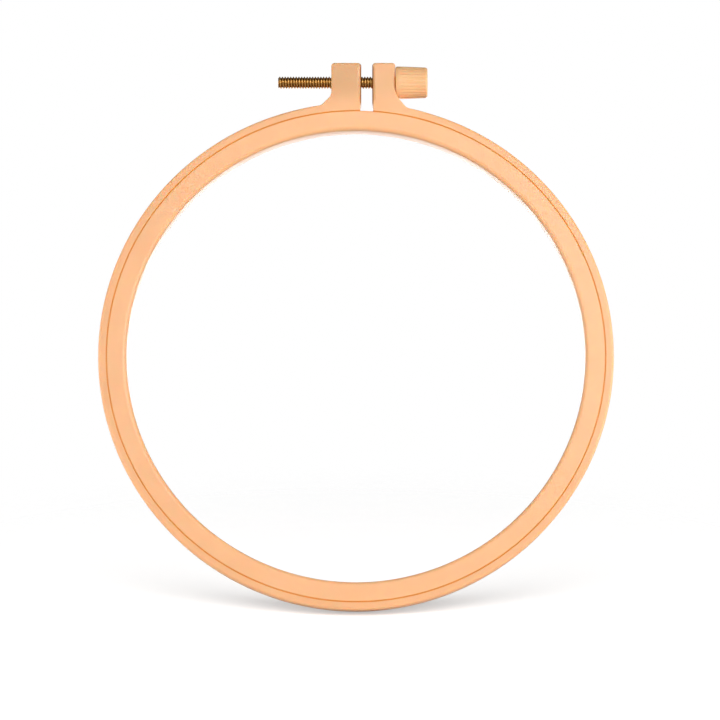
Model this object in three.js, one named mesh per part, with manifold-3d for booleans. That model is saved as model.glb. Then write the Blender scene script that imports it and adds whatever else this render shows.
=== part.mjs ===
// Embroidery hoop of moulded plastic. A plain inner ring nests in a split outer ring, and a brass
// machine screw with a ribbed knob draws the two lugs of the outer ring together.
// Millimetres, +Z up. The front face looks towards -Y and the knob is on the +X side.
// The origin is at the bottom of the rim, midway between the front and back faces.

import * as THREE from 'three';
import { mergeVertices } from 'three/addons/utils/BufferGeometryUtils.js';
import Module from 'manifold-3d';

// Rings
const rimRadius = 73.8; // outside of the outer ring
const bandWidth = 2.4; // radial thickness of the outer ring
const seamGap = 0.25; // radial clearance between the two rings
const innerWidth = 5.5; // radial thickness of the inner ring
const ringDepth = 7; // front face to back face
const rimEdge = 0.8; // rounding of the outside edges
const seamEdge = 0.3; // rounding of the edges beside the seam
const holeEdge = 1.2; // rounding of the inside edges
const ringFacets = 96;

// Split of the outer ring
const splitX = 3.1; // middle of the split, to the right of the hoop's centre
const splitWidth = 3.7; // between the two ends of the band
const lugReach = 0.25; // how far each lug stands past its end of the band
const lugReachStart = 0.3; // below the top of the rim, where the lugs start to stand past it
const flexGap = 0.3; // between the two halves of the band at the bottom, where the ring flexes

// Lugs
const lugOverScrew = 5.15; // top of the lugs above the screw's axis
const leftLugWidth = 8.65;
const rightLugWidth = 6.65;
const lugCorner = 0.85; // rounding of the top corners
const lugEdge = 0.45; // rounding of the front and back edges
const lugRoot = 0.5; // how deep the foot of a lug starts inside the band
const leftFoot = { height: 2.25, slope: 45, bend: 2.3, toe: 1.5 };
const rightFoot = { height: 2.45, slope: 50, bend: 4.9, toe: 1.5 };

// Clamp screw
const screwHeight = 6.65; // axis above the top of the rim
const screwRadius = 1.75; // over the crests
const threadRoot = 1.38;
const threadPitch = 0.794;
const crestShare = 0.15; // of the pitch
const screwTail = 15.35; // past the left lug, as photographed
const tipRadius = 1.48;
const tipLength = 0.35;
const headRadius = 2.9; // over the corners of the six-sided head
const headLength = 2.2;
const screwFacets = 12;

// Knob
const knobLength = 9;
const knobRadius = 4.7; // at the lug end
const knobEndRadius = 4.43;
const knobCollar = 1.2; // plain length beside the lug
const knobEdge = 0.55; // rounding at the lug end
const knobBevel = 0.75; // rounding at the free end
const ribCount = 28;
const ribDepth = 0.16;
const knobWall = 3; // solid length between the head and the free end

// Threaded insert in the left lug
const insertLength = 6.8;
const insertRadius = 2.55;
const insertWaist = 0.35; // depth of the groove round its middle
const insertKnurls = 20;
const knurlDepth = 0.15;

// Clearances
const knobGap = 0.3; // right lug to knob
const mouldGap = 0.25; // moulded plastic to the metal inside it
const rightBoreGap = 0.35; // right lug to screw
const leftBoreGap = 0.4; // left lug and insert to screw, which tilt as the ring opens

const bandInside = rimRadius - bandWidth;
const innerOutside = bandInside - seamGap;
const holeRadius = innerOutside - innerWidth;
const leftFace = splitX - splitWidth / 2 + lugReach;
const rightFace = splitX + splitWidth / 2 - lugReach;
const leftSide = leftFace - leftLugWidth;
const rightSide = rightFace + rightLugWidth;
const screwAxis = rimRadius + screwHeight;
const lugTop = screwAxis + lugOverScrew;
const knobStart = rightSide + knobGap;
const headStart = knobStart + knobLength - knobWall - mouldGap - headLength;

const wasm = await Module();
wasm.setup();

// A closed geometry as a solid that can be joined and cut.
function solidOf(geometry) {
  const bare = geometry.clone();
  bare.deleteAttribute('normal');
  bare.deleteAttribute('uv');
  const merged = mergeVertices(bare, 1e-5);
  return new wasm.Manifold(new wasm.Mesh({
    numProp: 3,
    vertProperties: new Float32Array(merged.attributes.position.array),
    triVerts: new Uint32Array(merged.index.array),
  }));
}

function geometryOf(solid) {
  const { numProp, vertProperties, triVerts } = solid.getMesh();
  const points = new THREE.InterleavedBuffer(vertProperties, numProp);
  const indexed = new THREE.BufferGeometry();
  indexed.setAttribute('position', new THREE.InterleavedBufferAttribute(points, 3, 0));
  indexed.setIndex(new THREE.BufferAttribute(triVerts, 1));
  const geometry = indexed.toNonIndexed();
  geometry.computeVertexNormals();
  return geometry;
}

function mesh(name, solid, material) {
  const made = new THREE.Mesh(geometryOf(solid), material);
  made.name = name;
  return made;
}

function plastic() {
  return new THREE.MeshStandardMaterial({ color: 0xfbc597, roughness: 0.42, metalness: 0 });
}

function brass(color) {
  return new THREE.MeshStandardMaterial({ color, roughness: 0.35, metalness: 1 });
}

// A block between two corners.
function block(low, high) {
  const size = high.map((value, i) => value - low[i]);
  const geometry = new THREE.BoxGeometry(...size);
  geometry.translate(...low.map((value, i) => value + size[i] / 2));
  return solidOf(geometry);
}

// Points of a quarter round that turns anticlockwise from angle start, in degrees.
function quarterRound(centreX, centreY, radius, start, steps) {
  return Array.from({ length: steps + 1 }, (_, i) => {
    const angle = THREE.MathUtils.degToRad(start + (90 * i) / steps);
    return new THREE.Vector2(centreX + radius * Math.cos(angle), centreY + radius * Math.sin(angle));
  });
}

// A ring round the Y axis, with its inside and outside edges rounded.
function ring(inside, outside, insideEdge, outsideEdge) {
  const half = ringDepth / 2;
  const steps = (edge) => (edge > 0.5 ? 3 : 1);
  const section = [
    ...quarterRound(outside - outsideEdge, outsideEdge - half, outsideEdge, -90, steps(outsideEdge)),
    ...quarterRound(outside - outsideEdge, half - outsideEdge, outsideEdge, 0, steps(outsideEdge)),
    ...quarterRound(inside + insideEdge, half - insideEdge, insideEdge, 90, steps(insideEdge)),
    ...quarterRound(inside + insideEdge, insideEdge - half, insideEdge, 180, steps(insideEdge)),
  ];
  section.push(section[0].clone());
  return solidOf(new THREE.LatheGeometry(section, ringFacets));
}

// A solid turned about the X axis from [x, radius] points that start and end on the axis.
function turned(profile, facets) {
  const geometry = new THREE.LatheGeometry(profile.map(([x, radius]) => new THREE.Vector2(radius, x)), facets);
  geometry.rotateZ(-Math.PI / 2);
  return solidOf(geometry);
}

function rod(start, end, radius, facets) {
  return turned([[start, 0], [start, radius], [end, radius], [end, 0]], facets);
}

// A closed outline through [x, z, radius] corners, each rounded to its radius.
function roundedOutline(corners) {
  const shape = new THREE.Shape();
  corners.forEach(([x, z, radius], i) => {
    const corner = new THREE.Vector2(x, z);
    const towards = (other) => new THREE.Vector2(other[0], other[1]).sub(corner).normalize();
    const back = towards(corners.at(i - 1));
    const ahead = towards(corners[(i + 1) % corners.length]);
    const half = Math.acos(back.dot(ahead)) / 2;
    const start = back.clone().multiplyScalar(radius / Math.tan(half)).add(corner);
    const end = ahead.clone().multiplyScalar(radius / Math.tan(half)).add(corner);
    const centre = back.clone().add(ahead).setLength(radius / Math.sin(half)).add(corner);
    const angle = (point) => Math.atan2(point.y - centre.y, point.x - centre.x);
    if (i === 0) shape.moveTo(start.x, start.y);
    if (radius > 0) shape.absarc(centre.x, centre.y, radius, angle(start), angle(end), back.cross(ahead) > 0);
    else shape.lineTo(x, z);
  });
  shape.closePath();
  return shape;
}

// A lug stands on the band. Its foot runs down from the side on a slope and meets the rim.
// hand is -1 for the left lug and 1 for the right one.
function lug(hand, face, side, foot) {
  const run = 1 / Math.tan(THREE.MathUtils.degToRad(foot.slope));
  const outline = (x) => Math.sqrt(rimRadius ** 2 - x ** 2);
  const bendHeight = rimRadius + foot.height;
  let toe = Math.abs(side);
  for (let i = 0; i < 8; i += 1) toe = Math.abs(side) + (bendHeight - outline(toe)) * run;
  const tail = toe + 2 * foot.toe;
  const inRoot = (x) => Math.sqrt((bandInside + lugRoot) ** 2 - x ** 2);
  const corners = [
    [face, inRoot(face), 0],
    [hand * tail, inRoot(tail), 0],
    [hand * tail, outline(tail), 0],
    [hand * toe, outline(toe), foot.toe],
    [side, bendHeight, foot.bend],
    [side, lugTop, lugCorner],
    [face, lugTop, lugCorner],
  ];
  const geometry = new THREE.ExtrudeGeometry(roundedOutline(hand > 0 ? corners : corners.toReversed()), {
    depth: ringDepth - 2 * lugEdge,
    curveSegments: 3,
    bevelThickness: lugEdge,
    bevelSize: lugEdge,
    bevelOffset: -lugEdge,
    bevelSegments: 2,
  });
  geometry.rotateX(Math.PI / 2);
  geometry.translate(0, ringDepth / 2 - lugEdge, 0);
  return solidOf(geometry);
}

// The whole outer ring, split at the top, with the bores for the screw and its insert.
function outerRing() {
  const band = ring(bandInside, rimRadius, seamEdge, rimEdge);
  const splitBottom = bandInside - bandWidth;
  const insertStart = (leftFace + leftSide - insertLength) / 2 - mouldGap;
  const cuts = [
    block(
      [splitX - splitWidth / 2, -ringDepth, splitBottom],
      [splitX + splitWidth / 2, ringDepth, rimRadius - lugReachStart],
    ),
    block([leftFace, -ringDepth, splitBottom], [rightFace, ringDepth, lugTop]),
    rod(leftSide - 1, splitX, screwRadius + leftBoreGap, 24).translate([0, 0, screwAxis]),
    rod(splitX, rightSide + 1, screwRadius + rightBoreGap, 24).translate([0, 0, screwAxis]),
    rod(insertStart, insertStart + insertLength + 2 * mouldGap, insertRadius + mouldGap, 24)
      .translate([0, 0, screwAxis]),
  ];
  const lugs = [lug(-1, leftFace, leftSide, leftFoot), lug(1, rightFace, rightSide, rightFoot)];
  return cuts.reduce((body, cut) => body.subtract(cut), lugs.reduce((body, piece) => body.add(piece), band));
}

// The half of the outer ring on one side of the split.
function halfRing(whole, hand) {
  const far = 2 * rimRadius;
  const near = splitX + (hand * flexGap) / 2;
  const [low, high] = hand > 0 ? [near, far] : [-far, near];
  return whole.intersect(block([low, -far, -far], [high, far, far]));
}

// A bar along X with a right-hand thread. Each ring of points climbs one pitch in a full turn,
// so its end meets the start of the ring one pitch further on.
function threadedBar(start, end) {
  const profile = [[0, screwRadius], [crestShare, screwRadius], [(1 + crestShare) / 2, threadRoot]];
  const rows = (Math.ceil((end - start) / threadPitch) + 2) * profile.length;
  const points = [];
  for (let row = 0; row < rows; row += 1) {
    const [share, radius] = profile[row % profile.length];
    const base = start + threadPitch * (Math.floor(row / profile.length) - 1 + share);
    for (let i = 0; i < screwFacets; i += 1) {
      const angle = (2 * Math.PI * i) / screwFacets;
      points.push(base + (threadPitch * i) / screwFacets, radius * Math.cos(angle), radius * Math.sin(angle));
    }
  }
  const at = (row, i) => (row + profile.length * Math.floor(i / screwFacets)) * screwFacets + (i % screwFacets);
  const faces = [];
  for (let row = 0; row + profile.length + 1 < rows; row += 1) {
    for (let i = 0; i < screwFacets; i += 1) {
      faces.push(at(row, i), at(row, i + 1), at(row + 1, i + 1));
      faces.push(at(row, i), at(row + 1, i + 1), at(row + 1, i));
    }
  }
  // Each end is a fan from the axis to one turn of the helix and the step that closes it.
  const cap = (row, x, turn) => {
    const centre = points.length / 3;
    points.push(x, 0, 0);
    const edge = [];
    for (let i = 0; i <= screwFacets; i += 1) edge.push(at(row, i));
    for (let step = profile.length - 1; step > 0; step -= 1) edge.push(at(row + step, 0));
    edge.forEach((point, k) => {
      const next = edge[(k + 1) % edge.length];
      faces.push(centre, ...(turn > 0 ? [point, next] : [next, point]));
    });
  };
  cap(0, start - 2 * threadPitch, -1);
  const lastRow = rows - profile.length - 1;
  cap(lastRow, points[3 * at(lastRow, 0)] + threadPitch, 1);
  const geometry = new THREE.BufferGeometry();
  geometry.setAttribute('position', new THREE.Float32BufferAttribute(points, 3));
  geometry.setIndex(faces);
  const envelope = turned([
    [start, 0], [start, tipRadius], [start + tipLength, screwRadius + 0.1], [end, screwRadius + 0.1], [end, 0],
  ], 2 * screwFacets);
  return solidOf(geometry).intersect(envelope);
}

// A solid of revolution about X with ribs, from [x, radius, share of the rib's depth] rows.
function ribbed(rows, count, depth) {
  const groove = [0, 0, 1]; // a rib's two crest corners and the bottom of the groove beside it
  const share = [0, 0.5, 0.75]; // their places along one rib's pitch
  const columns = count * groove.length;
  const points = [rows[0][0], 0, 0];
  rows.forEach(([x, radius, ribs]) => {
    for (let i = 0; i < columns; i += 1) {
      const k = i % groove.length;
      const angle = (2 * Math.PI * (Math.floor(i / groove.length) + share[k])) / count;
      const out = radius - depth * ribs * groove[k];
      points.push(x, out * Math.cos(angle), out * Math.sin(angle));
    }
  });
  points.push(rows.at(-1)[0], 0, 0);
  const last = rows.length * columns + 1;
  const at = (row, i) => 1 + row * columns + (i % columns);
  const faces = [];
  for (let i = 0; i < columns; i += 1) {
    faces.push(0, at(0, i + 1), at(0, i), last, at(rows.length - 1, i), at(rows.length - 1, i + 1));
    for (let row = 0; row + 1 < rows.length; row += 1) {
      faces.push(at(row, i), at(row, i + 1), at(row + 1, i + 1));
      faces.push(at(row, i), at(row + 1, i + 1), at(row + 1, i));
    }
  }
  const geometry = new THREE.BufferGeometry();
  geometry.setAttribute('position', new THREE.Float32BufferAttribute(points, 3));
  geometry.setIndex(faces);
  return solidOf(geometry);
}

// Clamp screw: threaded bar with a six-sided head that is moulded into the knob.
function clampScrew() {
  const bar = threadedBar(leftSide - screwTail, headStart + headLength / 2);
  return bar.add(rod(headStart, headStart + headLength, headRadius, 6));
}

function knob() {
  const end = knobStart + knobLength;
  const body = ribbed([
    [knobStart, knobRadius - knobEdge, 0],
    [knobStart + 0.3 * knobEdge, knobRadius - 0.3 * knobEdge, 0],
    [knobStart + knobEdge, knobRadius, 0],
    [knobStart + knobCollar, knobRadius, 0],
    [knobStart + knobCollar + ribDepth, knobRadius, 1],
    [end - knobBevel, knobEndRadius, 1],
    [end - 0.3 * knobBevel, knobEndRadius - 0.3 * knobBevel, 0.3],
    [end, knobEndRadius - knobBevel, 0],
  ], ribCount, ribDepth);
  const bore = rod(knobStart - 1, headStart, screwRadius + mouldGap, 24);
  const pocket = rod(headStart - mouldGap, headStart + headLength + mouldGap, headRadius + 1.2 * mouldGap, 6);
  return body.subtract(bore).subtract(pocket);
}

function threadedInsert() {
  const start = (leftFace + leftSide - insertLength) / 2;
  const at = (share) => start + share * insertLength;
  const body = ribbed([
    [at(0), insertRadius - insertWaist, 0],
    [at(0.06), insertRadius, 1],
    [at(0.4), insertRadius, 1],
    [at(0.44), insertRadius - insertWaist, 0],
    [at(0.56), insertRadius - insertWaist, 0],
    [at(0.6), insertRadius, 1],
    [at(0.94), insertRadius, 1],
    [at(1), insertRadius - insertWaist, 0],
  ], insertKnurls, knurlDepth);
  return body.subtract(rod(start - 1, start + insertLength + 1, screwRadius + leftBoreGap, 24));
}

const rings = new THREE.Group();
const whole = outerRing();
rings.add(
  mesh('inner_ring', ring(holeRadius, innerOutside, holeEdge, seamEdge), plastic()),
  mesh('outer_ring_right', halfRing(whole, 1), plastic()),
  mesh('outer_ring_left', halfRing(whole, -1), plastic()),
);

const clamp = new THREE.Group();
clamp.add(
  mesh('clamp_screw', clampScrew(), brass(0x8a5a20)),
  mesh('knob', knob(), plastic()),
  mesh('threaded_insert', threadedInsert(), brass(0xb08d45)),
);
clamp.position.z = screwAxis;

const hoop = new THREE.Group();
hoop.add(rings, clamp);
hoop.position.z = rimRadius;

export default hoop;
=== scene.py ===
# %% [markdown]
# # An embroidery hoop in moulded plastic
# The hoop is two nested rings. The outer one is split at the top, and a brass screw with a ribbed
# knob draws its two lugs together. The frame holds the plain solids and the joints. This lesson
# models the surfaces that the eye sees, at the places and sizes that the frame gives.

# %% Load the frame
import math

import bmesh
import bpy
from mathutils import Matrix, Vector


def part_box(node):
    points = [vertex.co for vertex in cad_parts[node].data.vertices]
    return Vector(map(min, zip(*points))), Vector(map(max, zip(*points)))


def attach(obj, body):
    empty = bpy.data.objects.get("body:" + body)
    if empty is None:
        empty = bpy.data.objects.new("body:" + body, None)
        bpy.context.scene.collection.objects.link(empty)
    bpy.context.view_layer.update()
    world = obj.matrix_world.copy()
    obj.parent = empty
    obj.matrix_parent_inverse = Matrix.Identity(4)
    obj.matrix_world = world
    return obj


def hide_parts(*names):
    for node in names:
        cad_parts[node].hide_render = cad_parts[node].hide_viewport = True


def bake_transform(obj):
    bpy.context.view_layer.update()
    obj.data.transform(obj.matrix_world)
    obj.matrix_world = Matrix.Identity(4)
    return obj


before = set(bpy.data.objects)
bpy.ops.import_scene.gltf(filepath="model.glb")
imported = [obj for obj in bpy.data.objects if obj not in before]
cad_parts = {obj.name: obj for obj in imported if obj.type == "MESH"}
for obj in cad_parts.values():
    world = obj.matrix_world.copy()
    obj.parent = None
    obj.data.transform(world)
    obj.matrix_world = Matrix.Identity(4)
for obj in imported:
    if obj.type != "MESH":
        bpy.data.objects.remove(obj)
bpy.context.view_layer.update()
MM = 0.001

# %% [markdown]
# ## Sizes
# Each size comes from the solids in the frame, so the dressed pieces sit where the joints expect
# them. A ring's radii are the least and greatest distances of its points from the hoop's axis.
# A lug's sides are the ends of what stands well above the rim.

# %% Measure the frame
def points_of(*nodes):
    return [v.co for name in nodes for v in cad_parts[name].data.vertices]


ring_low, ring_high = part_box("inner_ring")
hoop_centre = (ring_low + ring_high) / 2
front, back = ring_low.y, ring_high.y


def from_axis(point):
    return math.hypot(point.x - hoop_centre.x, point.z - hoop_centre.z)


hole_radius = min(from_axis(p) for p in points_of("inner_ring"))
band_inside = min(from_axis(p) for p in points_of("outer_ring_left", "outer_ring_right"))
rim_radius = hoop_centre.z
rim_top = hoop_centre.z + rim_radius

WELL_ABOVE_RIM = 6 * MM
tall = rim_top + WELL_ABOVE_RIM
left_lug = [p for p in points_of("outer_ring_left") if p.z > tall]
right_lug = [p for p in points_of("outer_ring_right") if p.z > tall]
left_side, left_face = min(p.x for p in left_lug), max(p.x for p in left_lug)
right_face, right_side = min(p.x for p in right_lug), max(p.x for p in right_lug)
lug_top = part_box("outer_ring_left")[1].z
split_x = (left_face + right_face) / 2

screw_low, screw_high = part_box("clamp_screw")
knob_low, knob_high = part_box("knob")
screw_z = (knob_low.z + knob_high.z) / 2
radii = (hole_radius, band_inside, rim_radius)
print("hole, seam and rim radii in mm:", [round(r / MM, 2) for r in radii])
print("lugs from", round(left_side / MM, 2), "to", round(right_side / MM, 2), "mm")
print("split at", round(split_x / MM, 2), "mm")

# %% [markdown]
# ## The camera
# The photograph looks up at the hoop's face from a little below its axis, because the hoop leans
# back. The wall shows at the top of the hole for that reason. A long lens from 1.5 m gives the
# nearly parallel view. The camera is aimed beside the hoop's centre by the millimetre or so
# that puts the hoop where the photograph has it.

# %% Camera
CAMERA_DROP = math.radians(10.4)
CAMERA_DISTANCE = 1.5
PIXELS_PER_METRE = 3490
PHOTO_WIDTH = 720
HOOP_PIXEL = (356.0, 356.25)
SENSOR_WIDTH = 36
NEAREST, FARTHEST = 0.05, 20

aside = (PHOTO_WIDTH / 2 - HOOP_PIXEL[0]) / PIXELS_PER_METRE
above = -(PHOTO_WIDTH / 2 - HOOP_PIXEL[1]) / PIXELS_PER_METRE
camera_back = Vector((0, -math.cos(CAMERA_DROP), -math.sin(CAMERA_DROP)))
camera_up = Vector((0, -math.sin(CAMERA_DROP), math.cos(CAMERA_DROP)))
aim = hoop_centre + Vector((aside, 0, 0)) + camera_up * above

camera = bpy.data.objects.new("camera", bpy.data.cameras.new("camera"))
bpy.context.scene.collection.objects.link(camera)
camera.location = aim + camera_back * CAMERA_DISTANCE
camera.rotation_euler = (math.pi / 2 + CAMERA_DROP, 0, 0)
camera.data.sensor_width = SENSOR_WIDTH
camera.data.lens = PIXELS_PER_METRE * CAMERA_DISTANCE * SENSOR_WIDTH / PHOTO_WIDTH
camera.data.clip_start = NEAREST
camera.data.clip_end = FARTHEST
bpy.context.scene.camera = camera
print("lens in mm:", round(camera.data.lens, 1))

# %% [markdown]
# ## Hand tools
# An operator acts on whatever is selected, so every step first says what it works on. These few
# helpers do that: start a piece from a primitive, pick points, edges or faces by their place,
# apply a modifier, and cut one piece with another. A new primitive has its place applied at once,
# so that numbers in edit mode are places in the frame.

# %% Helpers for modelling
CLOSE_BY = 0.02 * MM
SAME_PLACE = 0.001 * MM
DOUBLED = 0.0005 * MM


def work_on(piece):
    """Makes a piece the only one selected, in object mode."""
    if bpy.context.object and bpy.context.object.mode != "OBJECT":
        bpy.ops.object.mode_set(mode="OBJECT")
    bpy.ops.object.select_all(action="DESELECT")
    piece.select_set(True)
    bpy.context.view_layer.objects.active = piece


def settle():
    """Applies place, turn and size of the active object, so that its mesh holds them."""
    bpy.ops.object.transform_apply(location=True, rotation=True, scale=True)
    return bpy.context.object


def started(name, add, **where):
    """A new piece from a primitive, in edit mode, with its place in its mesh."""
    if bpy.context.object and bpy.context.object.mode != "OBJECT":
        bpy.ops.object.mode_set(mode="OBJECT")
    bpy.ops.object.select_all(action="DESELECT")
    add(**where)
    piece = settle()
    piece.name = piece.data.name = name
    bpy.ops.object.mode_set(mode="EDIT")
    bpy.ops.mesh.select_mode(type="VERT")
    bpy.ops.mesh.select_all(action="SELECT")
    return piece


def pick(piece, kind, test):
    """Selects the VERT, EDGE or FACE items whose middle passes the test, and nothing else."""
    bpy.ops.mesh.select_mode(type=kind)
    bpy.ops.mesh.select_all(action="DESELECT")
    mesh = bmesh.from_edit_mesh(piece.data)
    count = 0
    for item in {"VERT": mesh.verts, "EDGE": mesh.edges, "FACE": mesh.faces}[kind]:
        if kind == "VERT":
            middle = item.co
        else:
            middle = sum((v.co for v in item.verts), Vector()) / len(item.verts)
        if test(middle):
            item.select_set(True)
            count += 1
    mesh.select_flush(True)
    bmesh.update_edit_mesh(piece.data)
    return count


def near(place):
    """A test for pick: true within a hair of a place."""
    return lambda middle: (middle - Vector(place)).length < CLOSE_BY


def round_corner(piece, place, reach, segments):
    """Rounds the corner at a place, starting the curve at reach from it."""
    pick(piece, "VERT", near(place))
    bpy.ops.mesh.bevel(affect="VERTICES", offset=reach, segments=segments, profile=0.5)


def finish_modifier(piece, kind, **values):
    """Gives a piece a modifier and applies it."""
    work_on(piece)
    modifier = piece.modifiers.new(kind.lower(), kind)
    for name, value in values.items():
        setattr(modifier, name, value)
    bpy.ops.object.modifier_apply(modifier=modifier.name)


def boolean(piece, tool, operation):
    """Cuts or joins a piece with a tool, which is used up."""
    finish_modifier(piece, "BOOLEAN", object=tool, operation=operation, solver="EXACT")
    bpy.data.objects.remove(tool)


def bar(name, start, end, radius, sides):
    """A plain bar along X on the screw's axis, for cutting and joining."""
    piece = started(
        name, bpy.ops.mesh.primitive_cylinder_add, vertices=sides, radius=radius, depth=end - start,
        location=((start + end) / 2, 0, screw_z), rotation=(0, math.pi / 2, 0),
    )
    bpy.ops.object.mode_set(mode="OBJECT")
    return piece


def tidy(piece, smooth_angle=40):
    """Merges doubled points, turns the faces outwards and shades the curves smooth."""
    work_on(piece)
    bpy.ops.object.mode_set(mode="EDIT")
    bpy.ops.mesh.select_all(action="SELECT")
    bpy.ops.mesh.remove_doubles(threshold=DOUBLED)
    bpy.ops.mesh.normals_make_consistent(inside=False)
    bpy.ops.object.mode_set(mode="OBJECT")
    bpy.ops.object.shade_smooth_by_angle(angle=math.radians(smooth_angle))
    mesh = bmesh.new()
    mesh.from_mesh(piece.data)
    open_edges = sum(not edge.is_manifold for edge in mesh.edges)
    volume = mesh.calc_volume(signed=True)
    mesh.free()
    print(piece.name, len(piece.data.polygons), "faces,", open_edges, "open edges,",
          round(volume / MM ** 3, 1), "mm3")


# %% [markdown]
# ## The inner ring
# The inner ring is one plain moulding: a bar of nearly square section, bent round. Its inside
# edges are well rounded, because the fabric is drawn over them, and the edges beside the seam are
# nearly sharp. The section is a flat plane with rounded corners. Spun about the hoop's axis it
# makes the ring, which keeps the section exact all the way round. A thin inset of the flat faces
# keeps them flat where they meet the curves. The rings fit as closely as in the photograph.

# %% Inner ring
RING_STEPS = 360
HOLE_EDGE = 1.3 * MM
SEAM_EDGE = 0.18 * MM
SEAM_GAP = 0.01 * MM
FLAT_STRIP = 0.04 * MM
SEAM_STEPS = 4
HOLE_STEPS = 10

seam_radius = band_inside - SEAM_GAP
section_middle = ((hole_radius + seam_radius) / 2, (front + back) / 2, hoop_centre.z)
inner_ring = started(
    "inner_ring_moulding", bpy.ops.mesh.primitive_plane_add, size=1, location=section_middle,
)
bpy.ops.transform.resize(
    value=(seam_radius - hole_radius, back - front, 1), center_override=section_middle,
)
for y in (front, back):
    round_corner(inner_ring, (seam_radius, y, hoop_centre.z), SEAM_EDGE, SEAM_STEPS)
    round_corner(inner_ring, (hole_radius, y, hoop_centre.z), HOLE_EDGE, HOLE_STEPS)
bpy.ops.mesh.select_mode(type="FACE")
bpy.ops.mesh.select_all(action="SELECT")
bpy.ops.mesh.delete(type="ONLY_FACE")
bpy.ops.mesh.select_mode(type="EDGE")
bpy.ops.mesh.select_all(action="SELECT")
bpy.ops.mesh.spin(
    steps=RING_STEPS, angle=2 * math.pi, center=hoop_centre, axis=(0, 1, 0), use_auto_merge=True,
)
bpy.ops.mesh.select_all(action="SELECT")
bpy.ops.mesh.remove_doubles(threshold=DOUBLED)
bpy.ops.mesh.normals_make_consistent(inside=False)


def flat(p):
    """True for the middle of a face that lies in the hoop's front or back."""
    return min(abs(p.y - front), abs(p.y - back)) < SAME_PLACE


print("flat faces:", pick(inner_ring, "FACE", flat))
bpy.ops.mesh.inset(thickness=FLAT_STRIP)
tidy(inner_ring)

# %% [markdown]
# ## The outer ring
# The outer ring and its lugs are one moulding. Seen from the front it is a single outline: round
# the rim, up one lug, down into the split, back round the inside, and up the other lug. So the
# outline comes first, as a wire. A circle gives the rim, each lug's corners are drawn out of its
# cut end one by one, and then the corners are rounded. Filled and drawn through to the back face,
# the outline becomes the ring. Foot -1 is the left lug's and foot 1 the right one's. A foot is
# given by the height above the rim where its slope leaves the lug's side, by the slope in
# degrees, and by how far the bend above and the toe below are rounded. The ends of the band
# stand back a little from the faces of the lugs.

# %% Outline of the outer ring
ENDS_STAND_BACK = 0.25 * MM
SPLIT_HALF = (right_face - left_face) / 2 + ENDS_STAND_BACK
BAND_TOP = rim_top - 0.45 * MM
FACE_FOOT = rim_top - 0.1 * MM
LUG_CORNER = 0.95 * MM
SPLIT_ROUND_TOP = lug_top - 2.0 * MM
SPLIT_ROUND_FOOT = rim_top + 0.8 * MM
FEET = {
    -1: {
        "side": left_side, "face": left_face,
        "height": 2.25 * MM, "slope": 45, "bend": 0.95 * MM, "toe": 0.6 * MM,
    },
    1: {
        "side": right_side, "face": right_face,
        "height": 2.45 * MM, "slope": 50, "bend": 1.8 * MM, "toe": 0.7 * MM,
    },
}
TOE_TRIES = 12
CORNER_STEPS = 8
GRIP = 1.0 * MM
SPLIT_MARGIN = 0.2 * MM
ON_CURVE = 0.01 * MM


def on_circle(radius, x):
    """The height of the upper half of a ring's circle at a place across the hoop."""
    return hoop_centre.z + math.sqrt(radius ** 2 - x ** 2)


def toe_of(foot):
    """How far from the middle the foot's slope meets the rim, found by a few tries."""
    run = 1 / math.tan(math.radians(foot["slope"]))
    toe = abs(foot["side"])
    for _ in range(TOE_TRIES):
        toe = abs(foot["side"]) + (rim_top + foot["height"] - on_circle(rim_radius, toe)) * run
    return toe


outer_ring = started(
    "outer_ring_moulding", bpy.ops.mesh.primitive_circle_add, vertices=RING_STEPS, radius=rim_radius,
    fill_type="NOTHING", location=(0, front, hoop_centre.z), rotation=(math.pi / 2, 0, 0),
)
bpy.ops.mesh.select_all(action="SELECT")
bpy.ops.mesh.extrude_region_move(TRANSFORM_OT_translate={"value": (0, 0, 0)})
shrink = band_inside / rim_radius
bpy.ops.transform.resize(value=(shrink, 1, shrink), center_override=(0, front, hoop_centre.z))
middle_radius = (rim_radius + band_inside) / 2


def in_clamp(p, reach=GRIP):
    """True from one toe to the other, and for the reach past each."""
    return p.z > hoop_centre.z and -toe_of(FEET[-1]) - reach < p.x < toe_of(FEET[1]) + reach


def in_split(p):
    """True between the ends of the band, and for a little past each."""
    return p.z > hoop_centre.z and abs(p.x - split_x) < SPLIT_HALF + SPLIT_MARGIN


def in_the_way(p):
    """True for the points of the circles that the lugs and the split replace."""
    return in_split(p) or in_clamp(p) and from_axis(p) > middle_radius


taken = pick(outer_ring, "VERT", in_the_way)
bpy.ops.mesh.delete(type="VERT")
print("points taken out at the clamp:", taken)

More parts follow.
